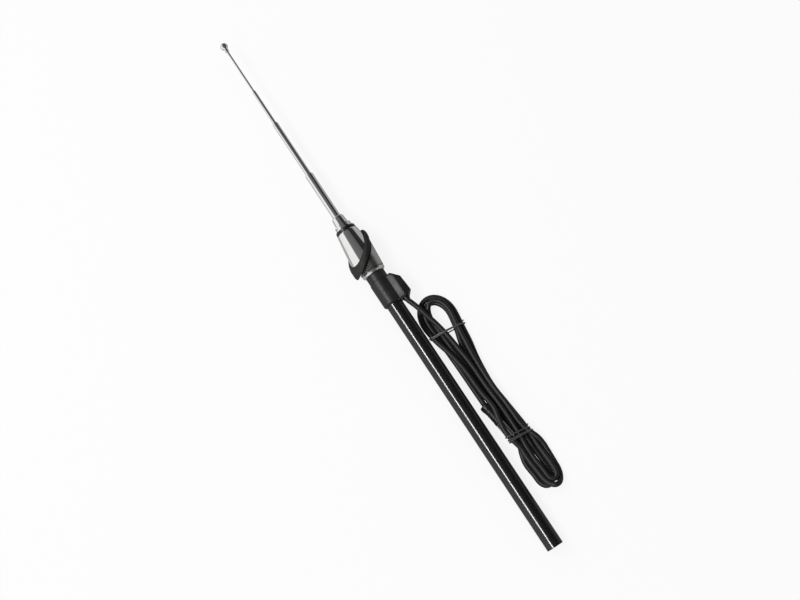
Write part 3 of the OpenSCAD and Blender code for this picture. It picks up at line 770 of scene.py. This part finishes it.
def stage_material(name, colour, glow):
    """A pale floor: part paint and part glow to the camera, so that its shadow stays, and a glow seen only by
    mirrors, a painted reflection with painted shadow near the aerial.
    """
    material = bpy.data.materials.new(name)
    material.use_nodes = True
    n = Nodes(material.node_tree)
    paint = n.add("ShaderNodeBsdfDiffuse", {}, {"Color": rgba(colour)})
    under = n.add("ShaderNodeBsdfDiffuse", {}, {"Color": rgba((1, 1, 1), 1 - glow)})
    light = n.add("ShaderNodeEmission", {}, {"Strength": glow})
    seen = n.add("ShaderNodeAddShader", {}, {0: under, 1: light})
    where = n.add("ShaderNodeTexCoord", {}, {}, "Object")
    across = n.add("ShaderNodeSeparateXYZ", {}, {"Vector": where}, "Y")
    # Glow seen only by reflections, set by place across the floor: a painted reflection, with painted shadow near
    # the aerial
    mirrored = n.add("ShaderNodeEmission", {}, {"Color": n.around(across, -FLOOR_DROP)})
    n.surface("ShaderNodeOutputMaterial", n.by_ray(paint, seen, mirrored))
    return material


def lamp(name, power, size, place):
    """An area lamp, long along X, that points at the origin."""
    data = bpy.data.lights.new(name, "AREA")
    data.shape = "RECTANGLE"
    data.size, data.size_y = size
    data.energy = power
    obj = bpy.data.objects.new(name, data)
    bpy.context.scene.collection.objects.link(obj)
    view = Vector(place)
    side = Vector((1, 0, 0))
    side = (side - view * side.dot(view) / view.dot(view)).normalized()
    back = view.normalized()
    obj.matrix_world = Matrix.Translation(place) @ Matrix((side, back.cross(side), back)).transposed().to_4x4()
    return obj


def show_only_on(light, pieces):
    """Makes a lamp show as a reflection on the given pieces and nowhere else."""
    light.visible_diffuse = False
    receivers = bpy.data.collections.new(light.name + "_receivers")
    light.light_linking.receiver_collection = receivers
    for piece in pieces:
        receivers.objects.link(piece)


def surroundings(ambient_level):
    """The world: an even level for light, white for the camera, and levels by angle for reflections."""
    world = bpy.data.worlds.new("surroundings")
    world.use_nodes = True
    n = Nodes(world.node_tree)
    where = n.add("ShaderNodeTexCoord", {}, {}, "Generated")
    across = n.add("ShaderNodeSeparateXYZ", {}, {"Vector": where}, "Y")
    up = n.add("ShaderNodeSeparateXYZ", {}, {"Vector": where}, "Z")
    ambient = n.add("ShaderNodeBackground", {}, {"Color": rgba((1, 1, 1)), "Strength": ambient_level})
    mirrored = n.add("ShaderNodeBackground", {}, {"Color": n.around(across, up)})
    seen = n.add("ShaderNodeBackground", {}, {"Color": rgba((1, 1, 1))})
    n.surface("ShaderNodeOutputWorld", n.by_ray(ambient, seen, mirrored))
    return world


class AERIAL_OT_stage(bpy.types.Operator):
    """Adds the pale floor, the soft light and the plain surroundings"""
    bl_idname = "aerial.stage"
    bl_label = "Stage"

    def execute(self, context):
        s = settings().stage
        start_fresh()
        bpy.ops.mesh.primitive_plane_add(size=FLOOR_SIZE, location=(0, 0, FLOOR_AT))
        floor = context.object
        floor.name = "floor"
        floor.data.materials.append(stage_material("floor_paint", tuple(s.floor_colour), FLOOR_GLOW))
        strip = lamp("strip", s.strip_power, STRIP_SIZE, STRIP_PLACE)
        strip.visible_glossy = False
        glint = lamp("glint", s.glint_power, GLINT_SIZE, GLINT_PLACE)
        show_only_on(glint, [frame["nodes"]["outer_tube"]])
        sheen = lamp("sheen", s.sheen_power, GLINT_SIZE, GLINT_PLACE)
        show_only_on(sheen, [o for o in context.scene.objects if o.type in ("MESH", "CURVE") and o.material_slots
                             and o.material_slots[0].material.name in SHEEN_SLOTS])
        context.scene.world = surroundings(s.ambient)
        context.scene.view_settings.view_transform = "Standard"
        return {"FINISHED"}


OPERATORS = (
    AERIAL_OT_camera, AERIAL_OT_lead, AERIAL_OT_gasket, AERIAL_OT_finishes, AERIAL_OT_stage,
)


class AERIAL_PT_panel(bpy.types.Panel):
    bl_label = "Aerial"
    bl_idname = "AERIAL_PT_panel"
    bl_space_type = "VIEW_3D"
    bl_region_type = "UI"
    bl_category = "Aerial"

    def draw(self, context):
        for group in ("camera", "lead", "stage"):
            box = self.layout.box()
            part = getattr(settings(), group)
            for key in part.__annotations__:
                box.prop(part, key)
        for one in OPERATORS:
            self.layout.operator(one.bl_idname)


CLASSES = (AerialCamera, AerialLead, AerialStage, AerialSettings, *OPERATORS, AERIAL_PT_panel)


def register():
    for one in CLASSES:
        bpy.utils.register_class(one)
    bpy.types.Scene.aerial = bpy.props.PointerProperty(type=AerialSettings)


def unregister():
    del bpy.types.Scene.aerial
    for one in reversed(CLASSES):
        bpy.utils.unregister_class(one)


def main():
    register()
    bpy.ops.aerial.camera()
    bpy.ops.aerial.lead()
    bpy.ops.aerial.gasket()
    bpy.ops.aerial.finishes()
    bpy.ops.aerial.stage()


if __name__ == "__main__":
    main()
